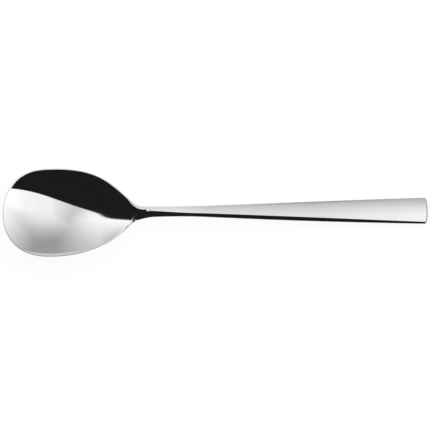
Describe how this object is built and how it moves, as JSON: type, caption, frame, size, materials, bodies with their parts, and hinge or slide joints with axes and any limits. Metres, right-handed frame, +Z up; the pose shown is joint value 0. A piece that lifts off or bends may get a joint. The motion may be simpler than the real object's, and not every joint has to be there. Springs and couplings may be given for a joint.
{
  "type": "salad serving spoon",
  "caption": "Large one-piece serving spoon of polished stainless steel with a wide egg-shaped bowl, a slim neck and a flat flared handle, for lifting salad.",
  "frame": {"origin": "on the table under the middle of the spoon's length, in its plane of symmetry", "axes": "+X runs along the spoon from the tip of the bowl to the end of the handle, +Z is up out of the open bowl, and +Y completes the right-handed frame"},
  "size_m": [0.25, 0.0548, 0.0125],
  "materials": {
    "polished_steel": "mirror-polished stainless steel"
  },
  "bodies": {
    "root": {"spoon": "polished_steel"}
  },
  "joints": []
}
